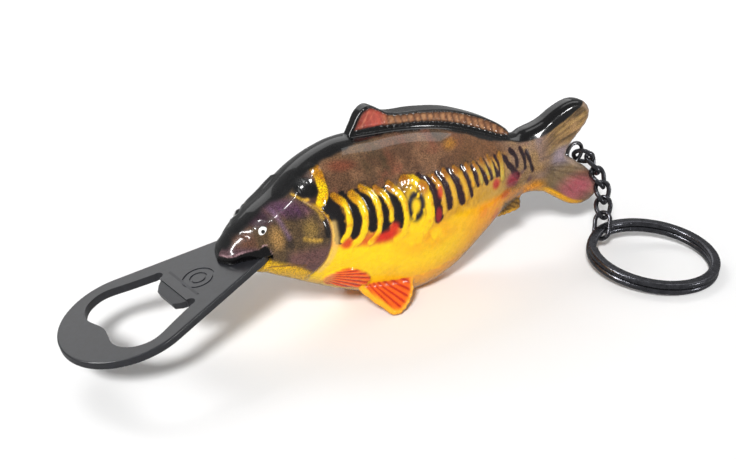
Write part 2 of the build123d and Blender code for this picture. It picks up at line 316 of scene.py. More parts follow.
def pelvic_place(x, y, z):
    """Place in the left pelvic fin's own plane: along, down, and off the plane."""
    dy, dz = y - PELVIC_ROOT[1], z - PELVIC_ROOT[2]
    down = -math.sin(PELVIC_LEAN) * dy - math.cos(PELVIC_LEAN) * dz
    off = math.cos(PELVIC_LEAN) * dy - math.sin(PELVIC_LEAN) * dz
    return x - PELVIC_ROOT[0], down, off


def fish_field(x, y, z):
    """Distance to the fish's skin."""
    dorsal_half = through(x, (60, 66, 73, 99), (1.2, 1.45, 1.9, 1.9))
    dorsal = slab(near_outline("dorsal", x, z), y, dorsal_half, edge=0.6)
    tail = slab(near_outline("tail", x, z), y, half=2.0, edge=1.5)
    anal = slab(near_outline("anal", x, z), y, half=1.0, edge=0.8)
    u, v, w = pelvic_place(x, y, z)
    pelvic = slab(near_outline("pelvic", u, v), w, half=0.75, edge=0.65)
    field = body_field(x, y, z)
    for fin, fillet in ((dorsal, 0.5), (tail, 2.0), (anal, 1.2), (pelvic, 0.8)):
        field = join(field, fin, fillet)
    return np.maximum(field, -near_outline("mouth", x, z))


def gradient(points, size=0.05):
    """The direction in which the distance to the skin grows."""
    g = np.zeros_like(points)
    for axis in range(3):
        shift = np.zeros(3)
        shift[axis] = size
        a, b = (points + shift).T, (points - shift).T
        g[:, axis] = (fish_field(*a) - fish_field(*b)) / (2 * size)
    return g


FISH_X, FISH_HALF_Y, FISH_Z = (31.0, 127.5), 13.5, (-0.9, 43.4)


def left_skin(cell):
    """The left flank's skin as vertices and quads, open along the middle plane."""
    xs = np.arange(*FISH_X, cell)
    ys = cell / 2 - cell * np.arange(int(FISH_HALF_Y / cell))
    zs = np.arange(*FISH_Z, cell)
    grid = np.meshgrid(xs, ys, zs, indexing="ij", sparse=True)
    inside = fish_field(*grid) < 0
    corners = sum(
        inside[i : i - 1 or None, j : j - 1 or None, k : k - 1 or None].astype(np.int8)
        for i in (0, 1)
        for j in (0, 1)
        for k in (0, 1)
    )
    active = (corners > 0) & (corners < 8)
    number = np.full(active.shape, -1)
    number[active] = np.arange(active.sum())
    ci, cj, ck = np.nonzero(active)
    points = np.c_[xs[ci] + cell / 2, ys[cj] - cell / 2, zs[ck] + cell / 2]
    middle = cj == 0
    points[middle, 1] = 0
    quads = []
    # one quad round each lattice edge that the skin crosses
    for axis in range(3):
        near = np.take(inside, range(inside.shape[axis] - 1), axis)
        far = np.take(inside, range(1, inside.shape[axis]), axis)
        changed = near != far
        e = list(np.nonzero(changed))
        o1, o2 = [a for a in range(3) if a != axis]
        keep = (e[o1] > 0) & (e[o2] > 0)
        keep &= (e[o1] < number.shape[o1]) & (e[o2] < number.shape[o2])
        e = [v[keep] for v in e]
        leaving = near[tuple(e)]
        ring = []
        for d1, d2 in ((-1, -1), (0, -1), (0, 0), (-1, 0)):
            cells = [v.copy() for v in e]
            cells[o1] += d1
            cells[o2] += d2
            ring.append(number[tuple(cells)])
        ring = np.array(ring).T
        flip = ~leaving if axis == 1 else leaving
        ring[flip] = ring[flip][:, ::-1]
        quads.append(ring)
    quads = np.concatenate(quads)
    return settle(points, quads, middle), quads, middle


def settle(points, quads, middle):
    """Moves the vertices onto the skin and evens them out."""
    edges = np.concatenate([quads[:, [a, (a + 1) % 4]] for a in range(4)])
    count = np.bincount(edges.ravel(), minlength=len(points))[:, None]
    for turn in range(4):
        if turn:
            total = np.zeros_like(points)
            np.add.at(total, edges[:, 0], points[edges[:, 1]])
            np.add.at(total, edges[:, 1], points[edges[:, 0]])
            points = points + 0.6 * (total / count - points)
            points[middle, 1] = 0
        for _ in range(2):
            g = gradient(points)
            g[middle, 1] = 0
            size = np.maximum((g * g).sum(1), 0.05)
            move = g * (fish_field(*points.T) / size)[:, None]
            length = np.linalg.norm(move, axis=1)[:, None]
            points = points - move * np.minimum(1, 0.3 / np.maximum(length, 1e-9))
            points[middle, 1] = 0
    return points


# ---- where the skin's marks are ---------------------------------------------------------------
def line_distance(x, z, points):
    """Distance to a smooth line through the points."""
    p = np.array(points, float)
    if len(p) > 2:
        along = np.arange(len(p))
        fine = np.linspace(0, len(p) - 1, 4 * len(p))
        p = np.c_[through(fine, along, p[:, 0]), through(fine, along, p[:, 1])]
    best = np.full(x.shape, 1e9)
    for a, b in zip(p[:-1], p[1:]):
        d = b - a
        t = np.clip(((x - a[0]) * d[0] + (z - a[1]) * d[1]) / (d @ d + 1e-12), 0, 1)
        best = np.minimum(best, (x - a[0] - t * d[0]) ** 2 + (z - a[1] - t * d[1]) ** 2)
    return np.sqrt(best)


def line(x, z, width, *points, soft=0.2):
    """1 on a painted line of that width, 0 away from it."""
    return step(width / 2 + soft, width / 2 - soft, line_distance(x, z, points))


def spot(x, z, at, radii, soft=0.35):
    """1 inside an oval spot, fading at its rim."""
    k = np.hypot((x - at[0]) / radii[0], (z - at[1]) / radii[1])
    return step(1 + soft, 1 - soft, k)


def below(z, x, edge, soft=0.3):
    """1 where z is under the line edge, a table of (x, z)."""
    xs, zs = zip(*edge)
    return step(soft, -soft, z - through(x, xs, zs))


# lower edge of the black back
BACK = (
    (31, 18.9),
    (32, 20.3),
    (33, 21.5),
    (35, 23.4),
    (38, 25.7),
    (41, 27.5),
    (44, 29.0),
    (47, 31.3),
    (49.3, 32.7),
    (52, 34.2),
    (56, 35.2),
    (60, 35.8),
    (66, 35.9),
    (72, 35.6),
    (78, 34.9),
    (82, 33.8),
    (86, 32.2),
    (90, 30.5),
    (94, 28.9),
    (98, 27.6),
    (102, 26.7),
    (106, 26.4),
    (110, 27.0),
    (114, 28.5),
    (117, 29.9),
    (119.5, 31.2),
    (123, 33.0),
)
# foot of the dorsal fin's coloured face
FIN_FOOT = (
    (59, 37.7),
    (66, 37.75),
    (70, 37.4),
    (74, 37.05),
    (78, 36.4),
    (82, 35.5),
    (86, 34.2),
    (90, 32.5),
    (94, 30.7),
    (97, 29.4),
    (99.5, 28.7),
)
# upper and lower edge of the row of scales
ROW_TOP = (
    (48, 28.0),
    (52, 27.8),
    (58, 28.0),
    (64, 27.6),
    (70, 28.0),
    (76, 27.2),
    (84, 26.8),
    (94, 26.0),
    (104, 25.4),
)
ROW_LOW = (
    (48, 19.5),
    (53, 19.4),
    (57, 18.3),
    (62, 17.6),
    (68, 17.2),
    (74, 17.6),
    (80, 18.2),
    (88, 18.2),
    (98, 17.5),
    (106, 16.2),
)
# bright scales: line width, then the scale's middle line from its top
SCALES = (
    (1.7, (50.7, 33.2), (50.4, 31.4), (50.1, 29.6), (49.2, 28.3)),
    (1.4, (51.9, 28.9), (53.6, 27.2), (54.2, 24.6), (53.9, 22.0), (52.8, 20.4)),
    (1.7, (55.3, 28.6), (56.9, 26.8), (57.6, 24.2), (57.4, 21.6), (56.4, 19.7), (55.0, 18.9)),
    (1.4, (57.6, 29.4), (59.4, 28.2), (60.6, 25.6), (61.0, 22.6), (60.4, 19.8), (58.9, 18.5)),
    (1.3, (60.6, 28.6), (62.4, 26.9), (63.5, 24.4), (63.7, 22.0)),
    (1.7, (63.7, 28.4), (66.0, 26.2), (67.2, 23.2), (67.3, 20.4), (66.4, 18.4), (65.0, 17.7)),
    (2.0, (67.3, 28.6), (69.6, 28.2), (70.6, 27.4)),
    (2.4, (71.6, 26.4), (72.8, 24.0), (73.2, 21.0), (72.6, 18.8), (71.6, 17.6)),
    (1.2, (74.7, 27.6), (76.2, 25.0), (76.8, 22.0), (77.0, 19.8)),
    (1.3, (77.5, 27.8), (79.2, 25.0), (79.9, 22.4), (80.1, 20.4)),
    (1.2, (80.6, 27.6), (82.3, 25.0), (83.2, 22.4), (83.4, 20.8)),
    (1.0, (83.9, 27.2), (85.0, 25.0), (85.5, 22.8)),
    (1.0, (86.2, 27.0), (87.4, 25.0), (88.0, 22.8)),
    (0.9, (88.6, 27.0), (89.7, 24.8), (90.3, 22.8)),
    (0.9, (90.8, 27.0), (91.6, 25.0), (92.0, 23.0)),
    (1.6, (94.4, 26.2), (94.6, 24.0), (94.6, 21.6)),
)
# dark gaps between them, in the same form
GAPS = (
    (2.2, (50.7, 27.4), (51.6, 25.6), (52.2, 23.4), (52.2, 21.4)),
    (1.5, (53.4, 28.4), (55.3, 26.8), (55.7, 24.0), (55.2, 21.2)),
    (1.7, (56.8, 28.2), (58.4, 26.4), (59.2, 24.0), (59.2, 21.4)),
    (1.9, (60.0, 27.6), (61.4, 25.2), (62.2, 22.8), (62.0, 20.4)),
    (2.0, (63.0, 27.4), (64.5, 25.0), (65.5, 22.6), (65.6, 21.0)),
    (1.6, (71.2, 28.0), (73.6, 26.0), (74.8, 23.2), (75.3, 20.6), (75.6, 18.8)),
    (1.1, (75.8, 27.6), (77.6, 24.8), (78.2, 22.2), (78.4, 20.4)),
    (1.2, (78.9, 27.2), (80.7, 24.6), (81.5, 22.2), (81.9, 20.6)),
    (0.7, (82.6, 27.2), (83.6, 25.2), (84.5, 22.4), (84.9, 20.8)),
    (0.7, (85.5, 26.6), (86.3, 24.4), (86.8, 22.4)),
    (0.8, (87.0, 26.4), (88.6, 24.2), (89.6, 22.0)),
    (0.8, (89.3, 26.4), (90.4, 24.4), (91.0, 22.6)),
    (0.7, (91.1, 26.2), (92.3, 24.4), (93.0, 22.6)),
    (0.6, (92.9, 26.4), (93.7, 24.4), (93.9, 22.4)),
    (1.1, (95.6, 25.4), (96.8, 23.8), (98.3, 22.0), (99.8, 20.2)),
    (0.8, (98.2, 26.0), (99.4, 24.6), (99.6, 22.6)),
    (0.7, (101.2, 25.6), (102.0, 23.6), (102.2, 21.4)),
    (0.7, (102.9, 24.6), (103.8, 22.2), (104.8, 20.0)),
)
# red and orange flecks along the row: colour, middle, radii, strength
FLECKS = (
    ((0.78, 0.12, 0.05), (62.5, 18.9), (2.6, 1.0), 0.9),
    ((0.80, 0.16, 0.06), (64.3, 20.2), (1.2, 1.0), 0.9),
    ((0.80, 0.22, 0.08), (53.6, 19.4), (1.0, 1.0), 0.8),
    ((0.78, 0.20, 0.12), (75.9, 24.2), (0.6, 1.2), 0.8),
    ((0.70, 0.18, 0.16), (92.5, 20.9), (1.0, 1.0), 0.9),
    ((0.62, 0.20, 0.26), (98.2, 20.0), (2.0, 1.4), 0.9),
    ((0.80, 0.36, 0.10), (96.0, 17.4), (1.5, 0.9), 0.8),
)
# edge of the upper lip, and rear edge of the gill cover
LIP = ((31.0, 18.9), (33.0, 19.9), (35.0, 20.7), (37.0, 21.3), (38.5, 21.5), (39.0, 20.2))
GILL_EDGE = ((46.6, 28.8), (49.0, 26.6), (50.2, 23.6), (50.3, 20.2), (49.4, 16.4), (47.6, 13.4))

# fin rays: the point they spread from, first and last direction in degrees, and their number
TAIL_ROOT = (101.0, 21.5)
TAIL_RAYS_LOW = (TAIL_ROOT, -48, 0, 14)
TAIL_RAYS_HIGH = (TAIL_ROOT, 2, 42, 13)
PECTORAL_RAYS = ((46.5, 14.2), -42, -2, 9)
PELVIC_RAYS = ((-2.0, -6.0), 30, 75, 9)
ANAL_RAYS = ((90.0, 19.0), -50, -10, 10)
DORSAL_RAY_PITCH = 1.45

BLACK = (0.025, 0.025, 0.03)
GAP_BLACK = (0.07, 0.055, 0.06)
YELLOW = (0.97, 0.79, 0.01)


def fan(x, z, at, first, last, count):
    """Ridges spreading from a point between two directions, as a wave from -1 to 1."""
    angle = np.degrees(np.arctan2(z - at[1], x - at[0]))
    return np.cos((angle - first) / (last - first) * count * 2 * math.pi)


def dorsal_rays(x, z):
    """The dorsal fin's slanting rays, as a wave from -1 to 1."""
    return np.cos((x + 0.35 * (z - 36)) * 2 * math.pi / DORSAL_RAY_PITCH)


def head_mask(x, z):
    """1 in front of the gill cover's rear edge."""
    gill_x = through(z, *zip(*sorted((b, a) for a, b in GILL_EDGE)))
    top, bottom = GILL_EDGE[0][1], GILL_EDGE[-1][1]
    above = step(46.8, 46.2, x)
    under = step(48, 47, x)
    return np.where(z > top, above, np.where(z < bottom, under, step(0.2, -0.2, x - gill_x)))


def masks(x, y, z):
    """Where the named regions are, and the mottling, shared by the paint and the relief."""
    m = {}
    dorsal = near_outline("dorsal", x, z)
    m["fin_inside"] = -dorsal
    m["fin"] = step(-0.15, 0.15, z - through(x, *zip(*FIN_FOOT))) * step(58.5, 59.5, x)
    m["fin"] *= step(0.2, -0.1, dorsal) * step(101, 99.5, x)
    m["pectoral"] = step(0.2, -0.2, near_outline("pectoral", x, z)) * step(-4, -5, y)
    m["pelvic_u"], m["pelvic_v"], off = pelvic_place(x, y, z)
    m["pelvic"] = step(-0.1, 0.7, m["pelvic_v"]) * step(1.6, 1.2, np.abs(off))
    m["anal"] = step(95.5, 97.0, x) * step(106, 104, x) * step(14.9, 14.0, z + 0.25 * (x - 99))
    m["tail"] = step(106, 112, x)
    m["gill"] = line_distance(x, z, GILL_EDGE)
    m["head"] = head_mask(x, z)
    m["skin"] = 1 - m["pelvic"]
    m["upper"] = (1 - below(z, x, ROW_TOP, 0.9)) * step(47.5, 49.5, x)
    m["rear"] = step(93, 100, x)
    m["mottle"] = noise(x, z, 2.6, 1)
    m["fine"] = noise(x, z, 0.7, 2)
    m["patch"] = noise(x, z, 5.0, 3, 2)
    return m


# ---- relief -----------------------------------------------------------------------------
def scale_relief(x, z):
    """Raised scales, steep at the back and fading to the front, with sunk gaps between."""
    up = np.zeros(x.shape)
    rough = noise(x, z, 1.3, 11)
    fade = 0.3 + 0.7 * step(17.5, 21.5, z)
    for width, *points in SCALES:
        d = line_distance(x, z, points)
        behind = x > through(z, *zip(*sorted((b, a) for a, b in points)))
        reach = np.where(behind, 0.42 * width, 1.0 * width) * (0.8 + 0.5 * rough)
        height = (0.3 if points[0][0] < 75 else 0.18) * (0.7 + 0.6 * rough) * fade
        up = np.maximum(up, height * np.exp(-((d / reach) ** 2) ** 1.3))
    for width, *points in GAPS:
        up -= 0.05 * line(x, z, width * 0.8, *points, soft=0.4)
    return up


def head_relief(x, y, z, m, flank):
    """The head plate, its grooves, the eye's rim, the nostril and the lips."""
    up = (0.32 * step(0.0, 1.2, m["gill"]) + 0.12) * m["head"] * step(-2.5, -5, y) * step(38, 42, x)
    up -= 0.18 * line(x, z, 0.35, *GILL_EDGE, soft=0.3) * flank
    cheek = line(x, z, 0.3, (44.2, 26.4), (46.0, 23.6), (46.2, 19.6), (44.6, 16.2), soft=0.3)
    jaw = line(x, z, 0.3, (40.2, 17.2), (43.4, 17.0), (46.2, 15.4), soft=0.25)
    up -= (0.14 * cheek + 0.1 * jaw) * flank
    eye = np.hypot(x - EYE_X, z - EYE_Z)
    up += 0.10 * np.exp(-(((eye - 1.75) / 0.35) ** 2)) * step(-2, -3.5, y)
    nostril = np.hypot((x - 35.6) / 0.5, (z - 23.4) / 0.35)
    up -= 0.22 * np.exp(-(nostril**2)) * step(-1.5, -2.5, y)
    lip = z - through(x, *zip(*LIP))
    rolled = 0.16 * np.exp(-(((lip - 0.25) / 0.3) ** 2)) + 0.2 * step(0.1, -0.4, lip)
    return up + rolled * step(39.6, 38.8, x) * step(22.2, 21.8, z)


def fin_relief(x, y, z, m):
    """Rays of the paired, anal and tail fins."""
    up = m["pectoral"] * (0.45 + 0.09 * fan(x, z, *PECTORAL_RAYS))
    up += m["pelvic"] * 0.07 * fan(m["pelvic_u"], m["pelvic_v"], *PELVIC_RAYS)
    up += m["anal"] * 0.06 * fan(x, z, *ANAL_RAYS)
    lower = step(21.5, 19.5, z)
    tail_rays = fan(x, z, *TAIL_RAYS_LOW) * lower + fan(x, z, *TAIL_RAYS_HIGH) * (1 - lower)
    return up + m["tail"] * 0.035 * tail_rays * step(-0.4, -1.2, y) * below(z, x, BACK, 0.6)


def dorsal_relief(x, y, z, m):
    """The dorsal fin's sunk face with its rays, beaded foot and beaded brim."""
    recess = step(0.35, 0.85, m["fin_inside"]) * m["fin"] * step(-0.8, -1.4, y)
    up = (0.07 * dorsal_rays(x, z) - 0.3) * recess
    ripple = 1 + 0.35 * np.cos(2 * math.pi * x / DORSAL_RAY_PITCH)
    bead = z - through(x, *zip(*FIN_FOOT)) + 0.25
    bead_here = step(-1.2, -1.7, y) * step(60, 61, x) * step(99, 97, x)
    up += 0.18 * np.exp(-((bead / 0.3) ** 2)) * bead_here * ripple
    brim = np.exp(-(((m["fin_inside"] - 0.45) / 0.22) ** 2)) * m["fin"] * step(-0.8, -1.3, y)
    return up + 0.12 * brim * ripple


def relief(x, y, z, m, far_side):
    """Height of the moulded detail over the smooth skin."""
    flank = step(-1.5, -3.5, y) * m["skin"]
    far_nape = far_side * step(27.5, 28.5, z) * step(60, 57, x)
    up = scale_relief(x, z) * flank * (1 - far_nape)
    up += head_relief(x, y, z, m, flank)
    up += fin_relief(x, y, z, m)
    return up + dorsal_relief(x, y, z, m)


# ---- paint: each function lays its colours, as displayed, over the colours so far ----------
def mix(colour, target, amount):
    return colour + (np.asarray(target, float) - colour) * np.asarray(amount)[:, None]


def plain(x, colour):
    return np.tile(np.array(colour), (len(x), 1))


def to_linear(c):
    return np.where(c < 0.04045, c / 12.92, ((c + 0.055) / 1.055) ** 2.4)


def paint_belly(c, x, z, m):
    mottle, patch = m["mottle"], m["patch"]
    # painted shade: deeper orange towards the bottom of the belly, where it turns away from the light
    c = mix(c, (0.98, 0.62, 0.02), step(12, 2, z) * 0.75)
    c = mix(c, (0.97, 0.60, 0.08), step(76, 94, x) * 0.9)
    c = mix(c, (0.90, 0.42, 0.10), step(84, 96, x) * step(0.45, 0.7, mottle) * step(19, 16, z) * 0.8)
    c = mix(c, (0.93, 0.66, 0.10), step(0.5, 0.8, patch) * 0.35)
    # painted shade: a mottled orange patch low on the belly, darker where that part lies in shade
    belly_shade = spot(x, z, (73.0, 16.0), (6.0, 3.0), 0.8) * step(0.2, 0.7, mottle)
    c = mix(c, (0.90, 0.58, 0.05), belly_shade * 0.8)
    return mix(c, (0.80, 0.44, 0.05), line(x, z, 0.15, (71.6, 19), (72.8, 16.6), (74.2, 14.4)) * 0.6)


def paint_scale_row(c, x, z, m):
    mottle = m["mottle"]
    row = below(z, x, ROW_TOP, 0.8) * (1 - below(z, x, ROW_LOW, 0.9)) * step(48.5, 50, x)
    gold = mix(plain(x, (0.74, 0.50, 0.12)), (0.88, 0.68, 0.16), m["fine"])
    gold = mix(gold, (0.74, 0.58, 0.27), step(80, 94, x))
    dusk = step(22.0, 25.5, z) * step(74, 66, x) + 0.5 * step(26.5, 28.5, z)
    gold = mix(gold, (0.36, 0.23, 0.08), np.clip(dusk, 0, 1) * step(0.25, 0.55, mottle) * 0.8)
    c = mix(c, gold, row * 0.92)
    c = mix(c, (0.80, 0.30, 0.10), row * step(21.5, 19.0, z) * step(66, 62, x) * 0.85)
    return mix(c, YELLOW, spot(x, z, (70.0, 21.8), (3.2, 6.0), 0.35) * 0.85)


def paint_upper_flank(c, x, z, m):
    mottle = m["mottle"]
    olive = plain(x, (0.40, 0.28, 0.20))
    olive = mix(olive, (0.54, 0.39, 0.28), step(0.35, 0.75, mottle))
    olive = mix(olive, (0.26, 0.21, 0.13), step(0.5, 0.2, m["patch"]) * 0.7)
    olive = mix(olive, (0.54, 0.30, 0.22), step(0.5, 0.8, noise(x, z, 3.2, 5)) * 0.6)
    olive = mix(olive, (0.54, 0.36, 0.22), step(76, 88, x) * 0.7)
    # painted sheen: lighter and greyer along the top of the upper flank, where a soft reflection lies
    olive = mix(olive, (0.50, 0.40, 0.27), step(33.0, 35.6, z) * step(80, 60, x) * 0.45)
    olive = mix(olive, (0.50, 0.25, 0.17), spot(x, z, (55.2, 33.4), (2.4, 0.8), 0.6) * 0.7)
    olive = mix(olive, (0.76, 0.52, 0.18), spot(x, z, (81.2, 31.8), (1.6, 0.8), 0.9) * 0.85)
    c = mix(c, olive, m["upper"])
    return mix(c, (0.26, 0.18, 0.15), step(27.5, 28.5, z) * step(49.6, 48.8, x))


def paint_tail(c, x, z, m):
    """The tail's root, its two lobes with their rays, and its yellow and grey rim."""
    mottle, fine = m["mottle"], m["fine"]
    grey = plain(x, (0.58, 0.46, 0.40))
    grey = mix(grey, (0.66, 0.52, 0.34), step(0.4, 0.7, m["patch"]))
    grey = mix(grey, (0.44, 0.32, 0.32), step(0.55, 0.8, mottle) * 0.8)
    lower_edge = ((94, 18.5), (102, 17.2), (108, 16.6), (112, 15.0))
    grey = mix(grey, (0.93, 0.60, 0.16), below(z, x, lower_edge, 1.2))
    c = mix(c, grey, m["rear"])
    lobe = plain(x, (0.56, 0.43, 0.27))
    lobe = mix(lobe, (0.40, 0.32, 0.16), step(0.45, 0.75, fine) * 0.6)
    lobe = mix(lobe, (0.72, 0.56, 0.38), step(0.5, 0.75, mottle) * 0.6)
    out_x, out_z = x - TAIL_ROOT[0], z - TAIL_ROOT[1]
    ray = noise(np.degrees(np.arctan2(out_z, out_x)), 0.5 * np.hypot(out_x, out_z), 2.4, 23)
    lobe = mix(lobe, (0.28, 0.22, 0.14), step(0.5, 0.75, ray) * 0.75)
    lobe = mix(lobe, (0.76, 0.62, 0.36), step(0.5, 0.25, ray) * 0.5)
    lobe = mix(lobe, (0.60, 0.54, 0.60), spot(x, z, (114.5, 20.6), (4.2, 2.4), 0.5) * 0.85)
    lobe = mix(lobe, (0.48, 0.42, 0.34), step(20, 18, z) * 0.6)
    blush = spot(x, z, (119.0, 12.0), (5.2, 3.0), 0.7)
    lobe = mix(lobe, (0.76, 0.36, 0.43), blush * (0.95 - 0.4 * ray))
    upper_ray = line(x, z, 0.2, (105, 24.4), (110, 25.6), (115, 28.2), (118, 30))
    lobe = mix(lobe, (0.34, 0.25, 0.17), upper_ray * 0.7)
    start = (108, 19.4)
    for end in ((118.5, 18.2), (121.5, 15.6), (121.0, 13.4), (118.0, 11.6)):
        mid = ((start[0] + end[0]) / 2, (start[1] + end[1]) / 2 + 0.5)
        lobe = mix(lobe, (0.30, 0.22, 0.18), line(x, z, 0.15, start, mid, end) * 0.6)
    c = mix(c, lobe, m["tail"])
    rim = step(1.5, 0.9, -near_outline("tail", x, z)) * step(103, 106, x)
    c = mix(c, (0.95, 0.68, 0.08), rim * step(15.2, 13.8, z) * step(122.5, 119.5, x))
    return mix(c, (0.72, 0.62, 0.55), rim * step(15, 18, z) * step(112, 116, x) * 0.7)


def paint_scales(c, x, z, m):
    """Dark gaps, then the bright scales with their brown edges, a ring mark and flecks."""
    mottle, fine, skin = m["mottle"], m["fine"], m["skin"]
    ragged = noise(x, z, 1.1, 31)
    for width, *points in GAPS:
        tint = (0.16, 0.07, 0.10) if points[0][0] > 70 else GAP_BLACK
        half = width * (0.75 + 1.1 * ragged) / 2
        c = mix(c, tint, step(half + 0.18, half - 0.12, line_distance(x, z, points)) * skin)
    c = mix(c, (0.62, 0.10, 0.14), spot(x, z, (75.4, 19.6), (0.8, 1.6)) * 0.8)
    for number, (width, *points) in enumerate(SCALES):
        tone = YELLOW if number < 8 else (0.86, 0.66, 0.17)
        if number > 11:
            tone = (0.78, 0.66, 0.26)
        half = width * (0.62 + 0.6 * noise(x, z, 1.4, 20 + number)) / 2
        on = step(half + 0.18, half - 0.1, line_distance(x, z, points))
        c = mix(c, tone, on * skin)
        c = mix(c, (0.83, 0.55, 0.05), on * step(0.55, 0.75, fine) * skin * 0.7)
        edge = line(x, z, width + 0.5, *points) - on
        c = mix(c, (0.30, 0.17, 0.05), np.clip(edge, 0, 1) * 0.35 * skin * step(18.5, 22, z))
        tip = on * step(2.8, 0.4, np.hypot(x - points[0][0], z - points[0][1]))
        c = mix(c, (0.62, 0.34, 0.06), tip * (0.4 + 0.6 * mottle))
    ring = np.hypot((x - 69.7) / 1.5, (z - 23.0) / 2.3)
    ring_line = np.exp(-(((ring - 1) / 0.36) ** 2))
    c = mix(c, (0.10, 0.09, 0.15), ring_line * step(0.2, 0.45, ragged))
    for colour, at, radii, strength in FLECKS:
        c = mix(c, colour, spot(x, z, at, radii, 0.6) * strength)
    return c


def head_skin(x, z):
    """Colours of the head: brown with a purple brow, pale bars and a yellow throat."""
    streak = noise(1.6 * x, 0.5 * z, 1.0, 13)
    head = plain(x, (0.33, 0.26, 0.18))
    head = mix(head, (0.46, 0.36, 0.24), step(0.45, 0.75, streak) * 0.8)
    head = mix(head, (0.16, 0.13, 0.12), step(0.55, 0.75, noise(x, z, 2.2, 7)) * 0.6)
    head = mix(head, (0.46, 0.31, 0.31), step(21.5, 19.0, z) * step(41, 43, x) * 0.8)
    head = mix(head, (0.40, 0.25, 0.20), step(37.5, 36.0, x) * (0.4 + 0.6 * streak))
    head = mix(head, (0.33, 0.24, 0.28), step(22.2, 20.8, z) * step(38, 36, x) * 0.8)
    head = mix(head, (0.20, 0.11, 0.17), spot(x, z, (37.6, 26.0), (2.8, 1.2), 0.5) * 0.9)
    brow = spot(x, z, (43.4, 27.5), (3.4, 1.3), 0.7)
    head = mix(head, (0.36, 0.20, 0.38), brow * (0.35 + 0.6 * streak))
    lilac = line(x, z, 0.7, (41.2, 27.0), (41.6, 25.0), (42.2, 23.0), soft=0.6)
    head = mix(head, (0.54, 0.42, 0.56), lilac * 0.7)
    head = mix(head, (0.66, 0.50, 0.28), spot(x, z, (40.2, 22.8), (1.2, 1.8), 0.6) * 0.8)
    cheek = line(x, z, 0.8, (45.0, 22.4), (46.8, 21.8), (48.0, 21.6), soft=0.4)
    head = mix(head, (0.82, 0.64, 0.24), cheek * 0.8)
    head = mix(head, (0.60, 0.48, 0.22), spot(x, z, (46.3, 23.8), (1.4, 1.6), 0.6) * 0.6)
    bar = line(x, z, 1.4, (46.4, 29.4), (48.6, 27.0), (49.4, 25.0), (49.6, 22.4))
    head = mix(head, (0.10, 0.08, 0.08), bar * 0.9)
    pale_bar = line(x, z, 0.9, (46.8, 28.6), (48.2, 27.2), (48.9, 25.6), soft=0.3)
    head = mix(head, (0.80, 0.62, 0.22), pale_bar * 0.9)
    throat = below(z, x, ((36, 18.6), (40, 18.4), (44, 16.8), (47, 14.8), (50, 12.4)), 0.8)
    head = mix(head, (0.93, 0.72, 0.08), throat)
    jaw = line(x, z, 0.35, (39.0, 17.3), (42.4, 17.5), (45.4, 16.8))
    return mix(head, (0.45, 0.30, 0.12), jaw * 0.8)


def paint_head(c, x, z, m):
    skin = m["skin"]
    c = mix(c, head_skin(x, z), m["head"] * skin)
    cream = line(x, z, 1.5, (50.9, 24), (51.2, 20.4), (50.6, 17.2), (49.0, 14.4), soft=0.5)
    c = mix(c, (0.88, 0.72, 0.40), cream * skin * (1 - m["head"]) * 0.75)
    c = mix(c, (0.55, 0.38, 0.28), line(x, z, 0.3, *GILL_EDGE, soft=0.3) * skin * 0.8)
    lip = z - through(x, *zip(*LIP))
    snout = step(39.4, 39.0, x) * (1 - step(21.9, 22.3, z)) * step(-0.3, -0.1, z - plate_z(x))
    # painted highlight: a pale speckled line along the rim of the upper lip
    lip_rim_highlight = np.exp(-(((lip - 0.15) / 0.18) ** 2))
    c = mix(c, (0.72, 0.58, 0.60), lip_rim_highlight * snout * step(0.3, 0.5, m["fine"]))
    # painted shade: black from the lip line down to the plate, standing in for the dark mouth gap
    return mix(c, (0.02, 0.015, 0.02), step(0.1, -0.1, lip) * snout)


def paint_lower_fins(c, x, z, m):
    rays = fan(x, z, *PECTORAL_RAYS)
    fin = mix(plain(x, (0.92, 0.34, 0.12)), (0.70, 0.10, 0.05), step(-0.1, -0.8, rays))
    fin = mix(fin, (0.95, 0.55, 0.20), step(0.5, 1.0, rays) * 0.6)
    fin = mix(fin, (0.85, 0.58, 0.36), step(53.5, 51, x) * 0.8)
    c = mix(c, fin, m["pectoral"] * 0.95)
    rays = fan(m["pelvic_u"], m["pelvic_v"], *PELVIC_RAYS)
    fin = mix(plain(x, (0.90, 0.36, 0.06)), (0.72, 0.14, 0.03), step(0.0, -0.8, rays))
    pelvic_edge = step(-1.5, -0.5, near_outline("pelvic", m["pelvic_u"], m["pelvic_v"]))
    fin = mix(fin, (0.96, 0.66, 0.12), pelvic_edge)
    c = mix(c, fin, m["pelvic"])
    rays = fan(x, z, *ANAL_RAYS)
    fin = mix(plain(x, (0.60, 0.44, 0.16)), (0.36, 0.25, 0.10), step(0.0, -0.8, rays))
    fin = mix(fin, (0.90, 0.66, 0.16), step(11.4, 10.6, z))
    return mix(c, fin, m["anal"])


def back_mask(x, z, far_side):
    """1 on the black back, which reaches lower over the far nape."""
    wobble = (noise(x, z, 3.0, 9) - 0.5) * 0.5
    return 1 - below(z + wobble + 3.4 * far_side * step(64, 57, x), x, BACK, 0.25)


def paint_back(c, x, z, back, far_side):
    nape = spot(x, z, (47.6, 30.6), (1.9, 1.5), 0.3)
    first_scale = SCALES[0][1:]
    c = mix(c, BLACK, np.maximum(back, nape * (1 - line(x, z, 1.5, *first_scale))))
    glow = line(x, z, 0.5, (45.4, 29.4), (46.4, 28.8), (47.2, 28.9), soft=0.2)
    return mix(c, (0.85, 0.66, 0.2), glow * 0.8 * (1 - far_side))


